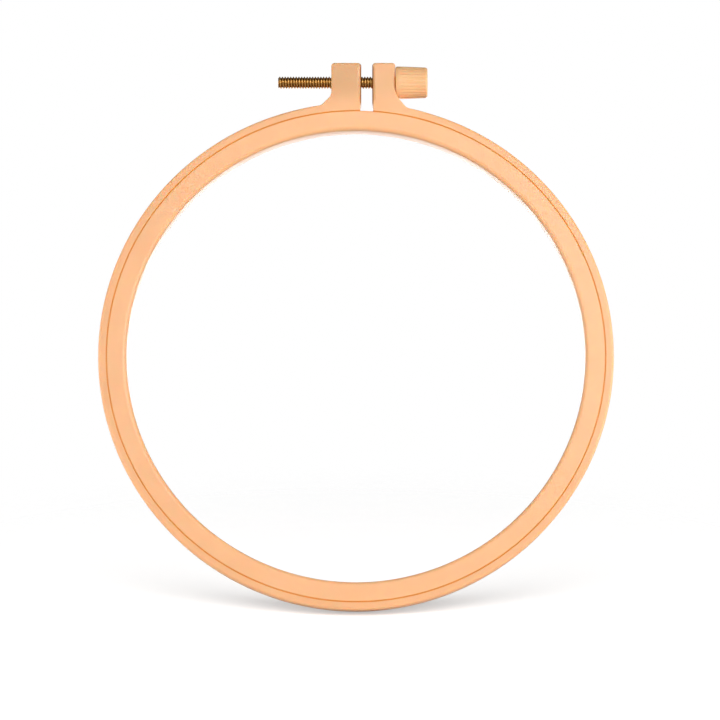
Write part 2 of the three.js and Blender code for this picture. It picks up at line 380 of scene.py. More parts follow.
corners = []
for hand, foot in FEET.items():
    points = [v.co.copy() for v in bmesh.from_edit_mesh(outer_ring.data).verts
              if v.co.z > hoop_centre.z and v.co.x * hand > split_x * hand]
    on_rim = [p for p in points if rim_radius - from_axis(p) < ON_CURVE]
    on_inside = [p for p in points if from_axis(p) - band_inside < ON_CURVE]
    rim_end = min(on_rim, key=lambda p: abs(p.x))
    inside_end = min(on_inside, key=lambda p: p.x * hand)
    split_end = split_x + hand * SPLIT_HALF
    toe = hand * toe_of(foot)
    path = [
        (toe, on_circle(rim_radius, toe), foot["toe"]),
        (foot["side"], rim_top + foot["height"], foot["bend"]),
        (foot["side"], lug_top, LUG_CORNER),
        (foot["face"], lug_top, LUG_CORNER),
        (foot["face"], SPLIT_ROUND_TOP, 0),
        (foot["face"], SPLIT_ROUND_FOOT, 0),
        (foot["face"], FACE_FOOT, 0),
        (split_end, BAND_TOP, 0),
        (split_end, on_circle(band_inside, split_end), 0),
        (inside_end.x, inside_end.z, 0),
    ]
    at = rim_end
    pick(outer_ring, "VERT", near(rim_end))
    for x, z, reach in path:
        place = Vector((x, front, z))
        bpy.ops.mesh.extrude_region_move(TRANSFORM_OT_translate={"value": place - at})
        at = place
        if reach:
            corners.append((place, reach))
bpy.ops.mesh.select_all(action="SELECT")
bpy.ops.mesh.remove_doubles(threshold=2 * SAME_PLACE)
for place, reach in corners:
    round_corner(outer_ring, place, reach, CORNER_STEPS)
print("corners rounded:", len(corners))

# %% [markdown]
# The wire is filled and drawn through to the back. A bevel then rounds its front and back
# edges, and a weight on each edge says how much: fully on the rim and the lugs, less beside the
# seam, and hardly at all on the ends of the band.

# %% Body of the outer ring
LUG_EDGE = 0.5 * MM
SPLIT_EDGE = 0.12 * MM
FILL_REACH = GRIP + 1.4 * MM
BEVEL_STEPS = 5

for hand in FEET:
    pick(outer_ring, "VERT", lambda p: in_clamp(p, FILL_REACH) and p.x * hand > split_x * hand)
    bpy.ops.mesh.edge_face_add()
bpy.ops.mesh.select_mode(type="FACE")
bpy.ops.mesh.select_all(action="SELECT")
bpy.ops.mesh.extrude_region_move(TRANSFORM_OT_translate={"value": (0, back - front, 0)})
bpy.ops.mesh.select_all(action="SELECT")
bpy.ops.mesh.normals_make_consistent(inside=False)


def edge_rounding(p):
    """How far the front or back edge at this place is rounded."""
    if from_axis(p) < band_inside + 5 * ON_CURVE:
        return SEAM_EDGE
    if abs(p.x - split_x) < SPLIT_HALF + ON_CURVE and p.z < BAND_TOP:
        return SPLIT_EDGE
    return LUG_EDGE


body = bmesh.from_edit_mesh(outer_ring.data)
weight = body.edges.layers.float.new("bevel_weight_edge")
for edge in body.edges:
    a, b = (v.co for v in edge.verts)
    if abs(a.y - b.y) < CLOSE_BY and edge.calc_face_angle(0) > 1:
        edge[weight] = edge_rounding((a + b) / 2) / LUG_EDGE
bmesh.update_edit_mesh(outer_ring.data)
finish_modifier(
    outer_ring, "BEVEL", width=LUG_EDGE, segments=BEVEL_STEPS, limit_method="WEIGHT",
    use_clamp_overlap=False,
)
print("faces after the bevel:", len(outer_ring.data.polygons))

# %% [markdown]
# Two roundings are wider than the bevel made them, so their points are moved apart. The upright
# edges of the lugs beside the split are well rounded, and show as soft borders in the
# photograph. The rounding of the rim grows from the toes of the feet to its full size. The
# rim's outside also leans in towards the back, as a mould needs.

# %% Wide roundings of the outer ring
SPLIT_ROUND = 1.2 * MM
RIM_EDGE = 0.85 * MM
RIM_EDGE_START = 1 * MM
RIM_EDGE_GROWS = 8 * MM
DRAFT = 0.45 * MM


def eased(share):
    """0 to 1 like the share, but level at both ends."""
    return share * share * (3 - 2 * share)


bpy.ops.object.mode_set(mode="EDIT")
body = bmesh.from_edit_mesh(outer_ring.data)
for point in body.verts:
    p = point.co
    side = front if p.y < 0 else back
    hand = 1 if p.x > split_x else -1
    inwards = (p.x - FEET[hand]["face"]) * hand
    on_edge = max(inwards, abs(p.y - side)) < LUG_EDGE + ON_CURVE
    if on_edge and SPLIT_ROUND_FOOT - ON_CURVE < p.z < SPLIT_ROUND_TOP + ON_CURVE:
        p.x = FEET[hand]["face"] + hand * inwards * SPLIT_ROUND / LUG_EDGE
        p.y = side + (p.y - side) * SPLIT_ROUND / LUG_EDGE
for point in body.verts:
    p = point.co
    depth = rim_radius - from_axis(p)
    hand = 1 if p.x > split_x else -1
    past_toe = RIM_EDGE_GROWS
    if p.z > hoop_centre.z:
        past_toe = abs(p.x) - toe_of(FEET[hand]) - RIM_EDGE_START
    if depth > LUG_EDGE + ON_CURVE or past_toe < 0:
        continue
    share = min(1, past_toe / RIM_EDGE_GROWS)
    grow = 1 + (RIM_EDGE / LUG_EDGE - 1) * eased(share)
    side = front if p.y < 0 else back
    draft = DRAFT * share * (p.y - front) / (back - front)
    new_radius = rim_radius - depth * grow - draft
    out = (p - hoop_centre) * (new_radius / from_axis(p))
    point.co = (hoop_centre.x + out.x, side + (p.y - side) * grow, hoop_centre.z + out.z)
bmesh.update_edit_mesh(outer_ring.data)
print("flat faces:", pick(outer_ring, "FACE", flat))
bpy.ops.mesh.inset(thickness=FLAT_STRIP)
bpy.ops.object.mode_set(mode="OBJECT")

# %% [markdown]
# The screw runs through both lugs with a little room round it, and the left lug has a pocket
# moulded round the threaded insert. Straight bars cut both, with a boolean, because the holes
# cross the rounded sides of the lugs.

# %% Bores of the lugs
SCREW_RADIUS = 1.75 * MM
BORE_ROOM = 0.4 * MM
INSERT_ROOM = 0.25 * MM
CUT_PAST = 1 * MM
BORE_SIDES = 64

insert_low, insert_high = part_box("threaded_insert")
insert_radius = (insert_high.z - insert_low.z) / 2
bore = bar(
    "bore", left_side - CUT_PAST, right_side + CUT_PAST, SCREW_RADIUS + BORE_ROOM, BORE_SIDES,
)
boolean(outer_ring, bore, "DIFFERENCE")
pocket = bar(
    "pocket", insert_low.x - INSERT_ROOM, insert_high.x + INSERT_ROOM,
    insert_radius + INSERT_ROOM, BORE_SIDES,
)
boolean(outer_ring, pocket, "DIFFERENCE")
tidy(outer_ring, smooth_angle=35)

# %% [markdown]
# ## The clamp screw
# The screw is a machine screw with a rolled right-hand thread. One tooth of the thread is a short
# wire: root, flank, crest, flank, root. Its flats at crest and root are shares of the pitch. The
# Screw modifier turns the wire about the axis and climbs one pitch in each turn. Both ends are
# cut square and closed.

# %% Thread
PITCH = 0.794 * MM
ROOT_RADIUS = 1.37 * MM
CREST_FLAT = 0.26
ROOT_FLAT = 0.24
THREAD_STEPS = 32
HEAD_LENGTH = 2.2 * MM
PAST_TIP = 0.2 * MM
INTO_HEAD = 0.4 * MM
CUT_HAIR = 1e-7

head_start = screw_high.x - HEAD_LENGTH
thread_start = screw_low.x - 2 * PITCH
turns = math.ceil((head_start - thread_start) / PITCH) + 3
clamp_screw = started(
    "clamp_screw_thread", bpy.ops.mesh.primitive_plane_add, size=PITCH,
    location=(PITCH / 2, 0, ROOT_RADIUS + PITCH / 2),
    rotation=(math.pi / 2, 0, 0),
)
pick(clamp_screw, "VERT", lambda p: p.z > ROOT_RADIUS + PITCH / 2)
bpy.ops.mesh.delete(type="VERT")
tooth = [
    (ROOT_FLAT / 2, ROOT_RADIUS),
    ((1 - CREST_FLAT) / 2, SCREW_RADIUS),
    ((1 + CREST_FLAT) / 2, SCREW_RADIUS),
    (1 - ROOT_FLAT / 2, ROOT_RADIUS),
]
bpy.ops.mesh.select_mode(type="EDGE")
bpy.ops.mesh.select_all(action="SELECT")
bpy.ops.mesh.subdivide(number_cuts=len(tooth))
tooth_wire = bmesh.from_edit_mesh(clamp_screw.data)
inner_points = sorted(tooth_wire.verts, key=lambda v: v.co.x)[1:-1]
for point, (share, radius) in zip(inner_points, tooth):
    point.co = (share * PITCH, 0, radius)
bmesh.update_edit_mesh(clamp_screw.data)
finish_modifier(
    clamp_screw, "SCREW", axis="X", angle=2 * math.pi, screw_offset=PITCH, iterations=turns,
    steps=THREAD_STEPS, render_steps=THREAD_STEPS, use_merge_vertices=True,
    merge_threshold=SAME_PLACE,
)
clamp_screw.location = (thread_start, 0, screw_z)
settle()
bpy.ops.object.mode_set(mode="EDIT")
bpy.ops.mesh.select_all(action="SELECT")
bpy.ops.mesh.remove_doubles(threshold=SAME_PLACE)
for end, keep in ((screw_low.x - PAST_TIP, 1), (head_start + INTO_HEAD, -1)):
    bpy.ops.mesh.select_all(action="SELECT")
    bpy.ops.mesh.bisect(
        plane_co=(end, 0, screw_z), plane_no=(1, 0, 0), threshold=CUT_HAIR,
        clear_inner=keep > 0, clear_outer=keep < 0,
    )
    pick(clamp_screw, "VERT", lambda p: abs(p.x - end) < SAME_PLACE)
    bpy.ops.mesh.edge_face_add()
tidy(clamp_screw)

# %% [markdown]
# A bar with a chamfered tip then trims the thread, and the six-sided head that the knob is
# moulded round is joined on.

# %% Tip and head of the screw
TIP_LENGTH = 0.35 * MM
OVER_CRESTS = 0.01 * MM
ENVELOPE_SIDES = 96
HEAD_SIDES = 6


def round_the_tip(p):
    """True for the middle of an edge that runs round the tip's end of the bar."""
    return abs(p.x - screw_low.x) < CLOSE_BY and math.hypot(p.y, p.z - screw_z) > ROOT_RADIUS


envelope = bar(
    "envelope", screw_low.x, head_start + INTO_HEAD / 2, SCREW_RADIUS + OVER_CRESTS, ENVELOPE_SIDES,
)
work_on(envelope)
bpy.ops.object.mode_set(mode="EDIT")
pick(envelope, "EDGE", round_the_tip)
bpy.ops.mesh.bevel(affect="EDGES", offset=TIP_LENGTH, segments=1)
bpy.ops.object.mode_set(mode="OBJECT")
boolean(clamp_screw, envelope, "INTERSECT")
tidy(clamp_screw)
head_radius = (screw_high.z - screw_low.z) / 2
head = bar("head", head_start, screw_high.x, head_radius, HEAD_SIDES)
boolean(clamp_screw, head, "UNION")
tidy(clamp_screw, smooth_angle=20)

# %% [markdown]
# ## The knob
# The knob has a smooth collar beside the lug and tapers a little from there to its free end, so
# that it leaves its mould. It is drawn from one ring of points, step by step along the axis, as
# on a lathe. The inside follows the bore and the pocket round the screw's head.

# %% Knob
RIBS = 28
POINTS_PER_RIB = 8
COLLAR = 1.2 * MM
KNOB_EDGE = 0.55 * MM
KNOB_BEVEL = 0.75 * MM
RIB_LEAD = 0.12 * MM
TAPER = 0.27 * MM
TAPER_STOP = 0.1 * MM
KNOB_GAP = 0.08 * MM
BORE_GAP = 0.25 * MM
POCKET_GAP = 0.3 * MM
CAP_RADIUS = 1.0 * MM
ROUND_STEPS = 6

knob_radius = (knob_high.z - knob_low.z) / 2
knob_end_radius = knob_radius - TAPER
knob_start = right_side + KNOB_GAP


def curve_rows(x, radius, size, start, end):
    """Rows (x, radius) along a round of that size, from angle start to end in degrees."""
    made = []
    for step in range(ROUND_STEPS + 1):
        angle = math.radians(start + (end - start) * step / ROUND_STEPS)
        made.append((x - size * math.cos(angle), radius + size * math.sin(angle)))
    return made


bore_radius = SCREW_RADIUS + BORE_GAP
pocket_radius = head_radius + POCKET_GAP
outside_rows = [
    (head_start - BORE_GAP, bore_radius),
    (knob_start, bore_radius),
    *curve_rows(knob_start + KNOB_EDGE, knob_radius - KNOB_EDGE, KNOB_EDGE, 0, 90),
    (knob_low.x + COLLAR, knob_radius),
    (knob_low.x + COLLAR + RIB_LEAD, knob_radius),
    (knob_high.x - KNOB_BEVEL - TAPER_STOP, knob_end_radius),
    *curve_rows(knob_high.x - KNOB_BEVEL, knob_end_radius - KNOB_BEVEL, KNOB_BEVEL, 90, 180),
    (knob_high.x, CAP_RADIUS),
]
inside_rows = [
    (head_start - BORE_GAP, pocket_radius),
    (screw_high.x + BORE_GAP, pocket_radius),
    (screw_high.x + BORE_GAP, CAP_RADIUS),
]


def draw_rows(first, following):
    """Extrudes the selected ring of points from row to row, and closes the last one."""
    x, radius = first
    for next_x, next_radius in following:
        bpy.ops.mesh.extrude_region_move(TRANSFORM_OT_translate={"value": (next_x - x, 0, 0)})
        grow = next_radius / radius
        bpy.ops.transform.resize(value=(1, grow, grow), center_override=(next_x, 0, screw_z))
        x, radius = next_x, next_radius
    bpy.ops.mesh.edge_face_add()


start_x, start_radius = outside_rows[0]
knob = started(
    "knob_moulding", bpy.ops.mesh.primitive_circle_add, vertices=RIBS * POINTS_PER_RIB,
    radius=start_radius, fill_type="NOTHING", location=(start_x, 0, screw_z),
    rotation=(0, math.pi / 2, 0),
)
bpy.ops.mesh.select_all(action="SELECT")
draw_rows(outside_rows[0], outside_rows[1:])
pick(knob, "VERT", lambda p: abs(p.x - start_x) < SAME_PLACE)
draw_rows(outside_rows[0], inside_rows)
print("rows drawn:", len(outside_rows) + len(inside_rows))

# %% [markdown]
# Fine shallow grooves are cut in its side for the fingers. Each rib has eight points round the
# knob, and each of them is pushed in by its share of the groove's depth. The knob is then turned
# by the camera's tilt, which brings its ribs to where the photograph shows them.

# %% Grooves of the knob
GROOVE = (0, 0.04, 0.4, 0.9, 1, 0.9, 0.4, 0.04)
RIB_DEPTH = 0.13 * MM
RIB_STOP = 0.45 * MM
SKIN_DEPTH = 0.6 * MM

rib_step = 2 * math.pi / (RIBS * POINTS_PER_RIB)
ribs_start = knob_low.x + COLLAR + RIB_LEAD / 2
ribs_end = knob_high.x - RIB_STOP
skin_radius = knob_end_radius - SKIN_DEPTH
knob_end = (knob_high.x, 0, screw_z)
for k, share in enumerate(GROOVE):
    def in_groove(p, k=k):
        turn = round(math.atan2(p.z - screw_z, p.y) / rib_step)
        on_skin = math.hypot(p.y, p.z - screw_z) > skin_radius
        return turn % POINTS_PER_RIB == k and ribs_start < p.x < ribs_end and on_skin

    if share:
        pick(knob, "VERT", in_groove)
        shrink = 1 - RIB_DEPTH * share / knob_radius
        bpy.ops.transform.resize(value=(1, shrink, shrink), center_override=knob_end)
bpy.ops.mesh.select_all(action="SELECT")
bpy.ops.transform.rotate(value=-CAMERA_DROP, orient_axis="X", center_override=knob_end)
tidy(knob, smooth_angle=50)

# %% [markdown]
# ## The plastic
# The plastic is an opaque apricot with a satin skin, and it scatters light a little below its
# surface. The mould leaves a very fine grain and a faint unevenness in tint and gloss. The three
# mouldings share all of that, and the painted shade further down, so it is made once, as a node
# group that puts out a colour, a roughness and a normal. The helpers below work on any node tree. Of
# these, narrow gives a mask, which is 1 in a narrow stretch and 0 elsewhere, and the last helper
# paints shade: it darkens a colour where a mask is 1.

# %% Helpers for nodes
def socket(group, name, kind, in_out, value=None):
    made = group.interface.new_socket(name=name, in_out=in_out, socket_type=kind)
    if value is not None:
        made.default_value = value


def node(tree, kind, **values):
    made = tree.nodes.new(kind)
    for name, value in values.items():
        setattr(made, name, value)
    return made


def maths(tree, operation, *sources):
    """The result of a sum on numbers and outputs of other nodes."""
    made = node(tree, "ShaderNodeMath", operation=operation)
    for place, source in enumerate(sources):
        if isinstance(source, (int, float)):
            made.inputs[place].default_value = source
        else:
            tree.links.new(source, made.inputs[place])
    return made.outputs["Value"]


def mapped(tree, source, ends, results, curve="LINEAR"):
    """The source carried from one stretch of values to another, and kept inside it."""
    made = node(tree, "ShaderNodeMapRange", interpolation_type=curve)
    made.inputs["From Min"].default_value = ends[0]
    made.inputs["From Max"].default_value = ends[1]
    made.inputs["To Min"].default_value = results[0]
    made.inputs["To Max"].default_value = results[1]
    tree.links.new(source, made.inputs["Value"])
    return made.outputs["Result"]


def narrow(tree, source, centre, reach, fade):
    """1 where the source is within reach of centre, fading to 0 over the fade length."""
    off = maths(tree, "SUBTRACT", source, centre)
    size = maths(tree, "ABSOLUTE", off)
    return mapped(tree, size, (reach, reach + fade), (1, 0), "SMOOTHSTEP")


def paint_shade(tree, share, base, tone):
    """The base colour with painted shade: multiplied by the tone as far as the share says."""
    made = node(tree, "ShaderNodeMix", data_type="RGBA", blend_type="MULTIPLY")
    tree.links.new(share, made.inputs["Factor"])
    tree.links.new(base, made.inputs["A"])
    if isinstance(tone, tuple):
        made.inputs["B"].default_value = tone
    else:
        tree.links.new(tone, made.inputs["B"])
    return made.outputs["Result"]


# %% [markdown]
# The group starts with two noises in the piece's own coordinates. The coarse one moves tint and
# gloss a little, and the fine one is the grain. The gloss that the plastics ask for keeps the
# roughness above 0.28 all over. Below that, the renderer's noise filter takes the skin for a
# mirror and leaves patches with hard borders.

# %% Node group: moulded skin and painted shade
CLOUD_SCALE = 110
GRAIN_SCALE = 2600
GRAIN_STRENGTH = 0.12
GRAIN_DEPTH = 0.02 * MM
GLOSS_SWING = 0.03
TINT_SWING = 0.02
NOISE_MIDDLE = (0.3, 0.7)

skin = bpy.data.node_groups.new("moulded_skin_and_shade", "ShaderNodeTree")
socket(skin, "Colour", "NodeSocketColor", "INPUT", (1, 1, 1, 1))
socket(skin, "Gloss", "NodeSocketFloat", "INPUT", 0.4)
socket(skin, "Knob", "NodeSocketFloat", "INPUT", 0)
socket(skin, "Colour", "NodeSocketColor", "OUTPUT")
socket(skin, "Roughness", "NodeSocketFloat", "OUTPUT")
socket(skin, "Normal", "NodeSocketVector", "OUTPUT")
skin_in = node(skin, "NodeGroupInput")
skin_out = node(skin, "NodeGroupOutput")
skin_place = node(skin, "ShaderNodeTexCoord")
cloud = node(skin, "ShaderNodeTexNoise")
cloud.inputs["Scale"].default_value = CLOUD_SCALE
cloud.inputs["Detail"].default_value = 1
grain = node(skin, "ShaderNodeTexNoise")
grain.inputs["Scale"].default_value = GRAIN_SCALE
grain.inputs["Detail"].default_value = 2
for texture in (cloud, grain):
    skin.links.new(skin_place.outputs["Object"], texture.inputs["Vector"])

more_gloss = mapped(skin, cloud.outputs["Fac"], NOISE_MIDDLE, (-GLOSS_SWING, GLOSS_SWING))
roughness = maths(skin, "ADD", skin_in.outputs["Gloss"], more_gloss)
skin.links.new(roughness, skin_out.inputs["Roughness"])
cloud_tint = mapped(skin, cloud.outputs["Fac"], NOISE_MIDDLE, (1 - TINT_SWING, 1 + TINT_SWING))
uneven = node(skin, "ShaderNodeVectorMath", operation="SCALE")
skin.links.new(skin_in.outputs["Colour"], uneven.inputs[0])
skin.links.new(cloud_tint, uneven.inputs["Scale"])
bump = node(skin, "ShaderNodeBump")
bump.inputs["Distance"].default_value = GRAIN_DEPTH
bump.inputs["Strength"].default_value = GRAIN_STRENGTH
skin.links.new(grain.outputs["Fac"], bump.inputs["Height"])
skin.links.new(bump.outputs["Normal"], skin_out.inputs["Normal"])
print("nodes for gloss, tint and grain:", len(skin.nodes))

# %% [markdown]
# In the photograph the plastic is deep orange where two mouldings meet and brown down in the split.
# Both are painted shade here: the colour is darkened for the shade and the bounced light in those
# narrow places, which is finer than the rays can show. Masks say where the shade is painted: the
# mouth of the seam, the knob's end beside the lug, and the split above the band. Only the mouth of
# the seam is painted, so a ring pressed out of the other has plain walls.

# %% Where the mouldings meet: masks for painted shade
CREVICE_REACH = 0.12 * MM
SEAM_FADE = 0.22 * MM
MOUTH_DEPTH = 0.9 * MM
MOUTH_FADE = 0.4 * MM
SPLIT_REACH = 0.2 * MM
STEP_FADE = 0.2 * MM

from_hub = node(skin, "ShaderNodeVectorMath", operation="SUBTRACT")
from_hub.inputs[1].default_value = hoop_centre
in_plane = node(skin, "ShaderNodeVectorMath", operation="MULTIPLY")
in_plane.inputs[1].default_value = (1, 0, 1)
ring_distance = node(skin, "ShaderNodeVectorMath", operation="LENGTH")
apart = node(skin, "ShaderNodeSeparateXYZ")
skin.links.new(skin_place.outputs["Object"], from_hub.inputs[0])
skin.links.new(from_hub.outputs["Vector"], in_plane.inputs[0])
skin.links.new(in_plane.outputs["Vector"], ring_distance.inputs[0])
skin.links.new(skin_place.outputs["Object"], apart.inputs["Vector"])
across, along, up = apart.outputs["X"], apart.outputs["Y"], apart.outputs["Z"]

half_depth = (back - front) / 2
half_split = (right_face - left_face) / 2
# The mouth of the seam and the knob's foot beside the lug are masked for painted shade.
seam_wall = narrow(skin, ring_distance.outputs["Value"], band_inside, CREVICE_REACH, SEAM_FADE)
below_mouth = narrow(skin, along, (front + back) / 2, half_depth - MOUTH_DEPTH, MOUTH_FADE)
at_mouth = maths(skin, "SUBTRACT", 1, below_mouth)
seam_shade_mask = maths(skin, "MULTIPLY", seam_wall, at_mouth)
beside_lug = narrow(skin, across, right_side, CREVICE_REACH, STEP_FADE)
knob_foot_shade_mask = maths(skin, "MULTIPLY", beside_lug, skin_in.outputs["Knob"])
crevice_shade_mask = maths(skin, "MAXIMUM", seam_shade_mask, knob_foot_shade_mask)
# The split above the band is masked for painted shade.
between_lugs = narrow(skin, across, split_x, half_split + SPLIT_REACH, STEP_FADE)
above_band = maths(skin, "GREATER_THAN", up, BAND_TOP)
split_shade_mask = maths(skin, "MULTIPLY", between_lugs, above_band)
print("nodes with the masks:", len(skin.nodes))

# %% [markdown]
# The lugs are a shade darker than the rings in the photograph, the left one more than the right.
# Here that is painted shade, multiplied into the lugs' colour. The painted shade comes in gradually
# up the foot of each lug, so no border shows.

# %% Painted shade on the plastic
# Each tone below is painted shade: the lugs', the crevices' and the split's.
LEFT_LUG_SHADE = (0.82, 0.84, 0.78, 1)
RIGHT_LUG_SHADE = (0.92, 0.95, 0.95, 1)
CREVICE_SHADE = (1.0, 0.65, 0.22, 1)
SPLIT_SHADE = (0.5, 0.3, 0.14, 1)
LUG_SHADE_STARTS = BAND_TOP - 1 * MM
LUG_SHADE_IS_FULL = BAND_TOP + 6 * MM

lug_shade_mask = mapped(skin, up, (LUG_SHADE_STARTS, LUG_SHADE_IS_FULL), (0, 1), "SMOOTHSTEP")
on_right = maths(skin, "GREATER_THAN", across, split_x)
lug_shade = node(skin, "ShaderNodeMix", data_type="RGBA")
lug_shade.inputs["A"].default_value = LEFT_LUG_SHADE
lug_shade.inputs["B"].default_value = RIGHT_LUG_SHADE
skin.links.new(on_right, lug_shade.inputs["Factor"])
# Painted shade on the lugs.
lug_shaded = paint_shade(skin, lug_shade_mask, uneven.outputs["Vector"], lug_shade.outputs["Result"])
# Painted shade: the crevices are darkened to a deep orange.
crevices_shaded = paint_shade(skin, crevice_shade_mask, lug_shaded, CREVICE_SHADE)
# Painted shade: the split is darkened to brown.
split_shaded = paint_shade(skin, split_shade_mask, crevices_shaded, SPLIT_SHADE)
skin.links.new(split_shaded, skin_out.inputs["Colour"])
print("nodes in the whole group:", len(skin.nodes))

# %% [markdown]
# Each moulding has a plastic of its own, because the photograph shows three slightly different
# apricots: the inner ring is the lightest and the knob the palest and dullest.

# %% Plastic materials
APRICOT = (0.9, 0.485, 0.24, 1)
OUTER_APRICOT = (0.87, 0.465, 0.228, 1)
KNOB_APRICOT = (0.88, 0.5, 0.25, 1)
SCATTER_SHARE = 0.5
SCATTER_REACH = (1.0, 0.45, 0.2)
SCATTER_SCALE = 1.2 * MM


def new_material(name):
    material = bpy.data.materials.new(name)
    material.use_nodes = True
    return material, material.node_tree, material.node_tree.nodes["Principled BSDF"]


def group_material(name, shared, **values):
    """A material whose colour, roughness and normal come from a node group."""
    material, tree, shader = new_material(name)
    group = node(tree, "ShaderNodeGroup", node_tree=shared)
    for key, value in values.items():
        group.inputs[key].default_value = value
    tree.links.new(group.outputs["Colour"], shader.inputs["Base Color"])
    tree.links.new(group.outputs["Roughness"], shader.inputs["Roughness"])
    tree.links.new(group.outputs["Normal"], shader.inputs["Normal"])
    return material, shader


def give(piece, material):
    """Makes a material the only one of a piece."""
    piece.data.materials.clear()
    piece.data.materials.append(material)


for piece, name, mirror, values in (
    (inner_ring, "inner_plastic", 0.5, {"Colour": APRICOT, "Gloss": 0.33}),
    (outer_ring, "outer_plastic", 0.45, {"Colour": OUTER_APRICOT, "Gloss": 0.32}),
    (knob, "knob_plastic", 0.35, {"Colour": KNOB_APRICOT, "Gloss": 0.36, "Knob": 1}),
):
    material, shader = group_material(name, skin, **values)
    shader.inputs["Subsurface Weight"].default_value = SCATTER_SHARE
    shader.inputs["Subsurface Radius"].default_value = SCATTER_REACH
    shader.inputs["Subsurface Scale"].default_value = SCATTER_SCALE
    shader.inputs["Specular IOR Level"].default_value = mirror
    give(piece, material)
    print(name, "on", piece.name)

# %% [markdown]
# ## The brass
# The screw has a dark antique finish. Handling keeps the crests of its thread bright, and the roots
# hold the brown patina. The dark of the roots is also painted shade, for the shade down in the
# thread. How far a point is from the screw's axis tells crest from root, so that distance drives the
# colour, with a little noise so that no two turns are alike. The insert is of the same brass, unworn
# and a little lighter, so this is a node group too.

# %% Node group: worn brass with painted root shade
SPOT_SCALE = 500
SPOT_DETAIL = 4
WEAR_SWING = 0.5
WEAR_LEAST = 0.75
DULL_SPOT, BRIGHT_SPOT = 0.12, -0.04
SCRATCH_DEPTH = 0.01 * MM
SCRATCH_STRENGTH = 0.3

metal = bpy.data.node_groups.new("worn_brass_and_root_shade", "ShaderNodeTree")
socket(metal, "Root", "NodeSocketColor", "INPUT", (0.3, 0.15, 0.03, 1))
socket(metal, "Crest", "NodeSocketColor", "INPUT", (0.8, 0.5, 0.15, 1))
socket(metal, "Gloss", "NodeSocketFloat", "INPUT", 0.3)
socket(metal, "Colour", "NodeSocketColor", "OUTPUT")
socket(metal, "Roughness", "NodeSocketFloat", "OUTPUT")
socket(metal, "Normal", "NodeSocketVector", "OUTPUT")
metal_in = node(metal, "NodeGroupInput")
metal_out = node(metal, "NodeGroupOutput")
metal_place = node(metal, "ShaderNodeTexCoord")
centred = node(metal, "ShaderNodeMapping")
centred.inputs["Location"].default_value = (0, 0, -screw_z)
off_axis = node(metal, "ShaderNodeVectorMath", operation="MULTIPLY")
off_axis.inputs[1].default_value = (0, 1, 1)
axis_distance = node(metal, "ShaderNodeVectorMath", operation="LENGTH")
spots = node(metal, "ShaderNodeTexNoise")
spots.inputs["Scale"].default_value = SPOT_SCALE
spots.inputs["Detail"].default_value = SPOT_DETAIL
metal.links.new(metal_place.outputs["Object"], centred.inputs["Vector"])
metal.links.new(centred.outputs["Vector"], off_axis.inputs[0])
metal.links.new(off_axis.outputs["Vector"], axis_distance.inputs[0])
metal.links.new(metal_place.outputs["Object"], spots.inputs["Vector"])

thread_depth = (ROOT_RADIUS, SCREW_RADIUS)
# Towards the roots the colour is patina and painted shade.
wear_and_root_shade = mapped(metal, axis_distance.outputs["Value"], thread_depth, (0, 1), "SMOOTHSTEP")
spotted = maths(metal, "MULTIPLY_ADD", spots.outputs["Fac"], WEAR_SWING, WEAR_LEAST)
spotted_wear_and_shade = node(metal, "ShaderNodeMath", operation="MULTIPLY", use_clamp=True)
metal.links.new(wear_and_root_shade, spotted_wear_and_shade.inputs[0])
metal.links.new(spotted, spotted_wear_and_shade.inputs[1])
metal_colour = node(metal, "ShaderNodeMix", data_type="RGBA")
metal.links.new(spotted_wear_and_shade.outputs["Value"], metal_colour.inputs["Factor"])
metal.links.new(metal_in.outputs["Root"], metal_colour.inputs["A"])
metal.links.new(metal_in.outputs["Crest"], metal_colour.inputs["B"])
metal.links.new(metal_colour.outputs["Result"], metal_out.inputs["Colour"])
spot_gloss = mapped(metal, spots.outputs["Fac"], (0, 1), (DULL_SPOT, BRIGHT_SPOT))
metal_gloss = maths(metal, "ADD", metal_in.outputs["Gloss"], spot_gloss)
metal.links.new(metal_gloss, metal_out.inputs["Roughness"])
scratch = node(metal, "ShaderNodeBump")
scratch.inputs["Distance"].default_value = SCRATCH_DEPTH
scratch.inputs["Strength"].default_value = SCRATCH_STRENGTH
metal.links.new(spots.outputs["Fac"], scratch.inputs["Height"])
metal.links.new(scratch.outputs["Normal"], metal_out.inputs["Normal"])
print("nodes in the brass group:", len(metal.nodes))

# %% Brass materials
# The root colour is the brown patina and painted shade of the thread's hollows.
ROOT_PATINA_AND_SHADE = (0.32, 0.14, 0.02, 1)
AGED_CREST = (0.78, 0.45, 0.14, 1)
INSERT_ROOT = (0.45, 0.28, 0.1, 1)
INSERT_CREST = (0.72, 0.5, 0.2, 1)

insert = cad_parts["threaded_insert"]
for piece, name, values in (
    (clamp_screw, "aged_brass", {"Root": ROOT_PATINA_AND_SHADE, "Crest": AGED_CREST, "Gloss": 0.32}),
    (insert, "insert_brass", {"Root": INSERT_ROOT, "Crest": INSERT_CREST, "Gloss": 0.35}),
):
    material, shader = group_material(name, metal, **values)
    shader.inputs["Metallic"].default_value = 1
    give(piece, material)
    print(name, "on", piece.name)

# %% [markdown]
# ## Light
# The photograph was lit softly from the right and a little above, with plenty of fill. A key on
# the right is the main light, and a weak one on the left opens the shadows. The front panel lies
# over the faces, and two gloss panels put the soft shine on them. Two narrow strips in the plane
# of the hoop light the rim from the sides and hardly touch its faces. The panel beside the lens
# lifts the underside, and the one behind serves the views from the back. Each line gives a
# panel's place, its size in metres and its power in watts.

# %% Lamps
def panel(name, place, size, power, look_at):
    lamp = bpy.data.lights.new(name, "AREA")
    lamp.shape = "RECTANGLE"
    lamp.size, lamp.size_y = size
    lamp.energy = power
    lamp_object = bpy.data.objects.new(name, lamp)
    bpy.context.scene.collection.objects.link(lamp_object)
    lamp_object.location = place
    aim_at = Vector(look_at) - Vector(place)
    lamp_object.rotation_euler = aim_at.to_track_quat("-Z", "Y").to_euler()
    lamp_object.visible_camera = False
    return lamp_object


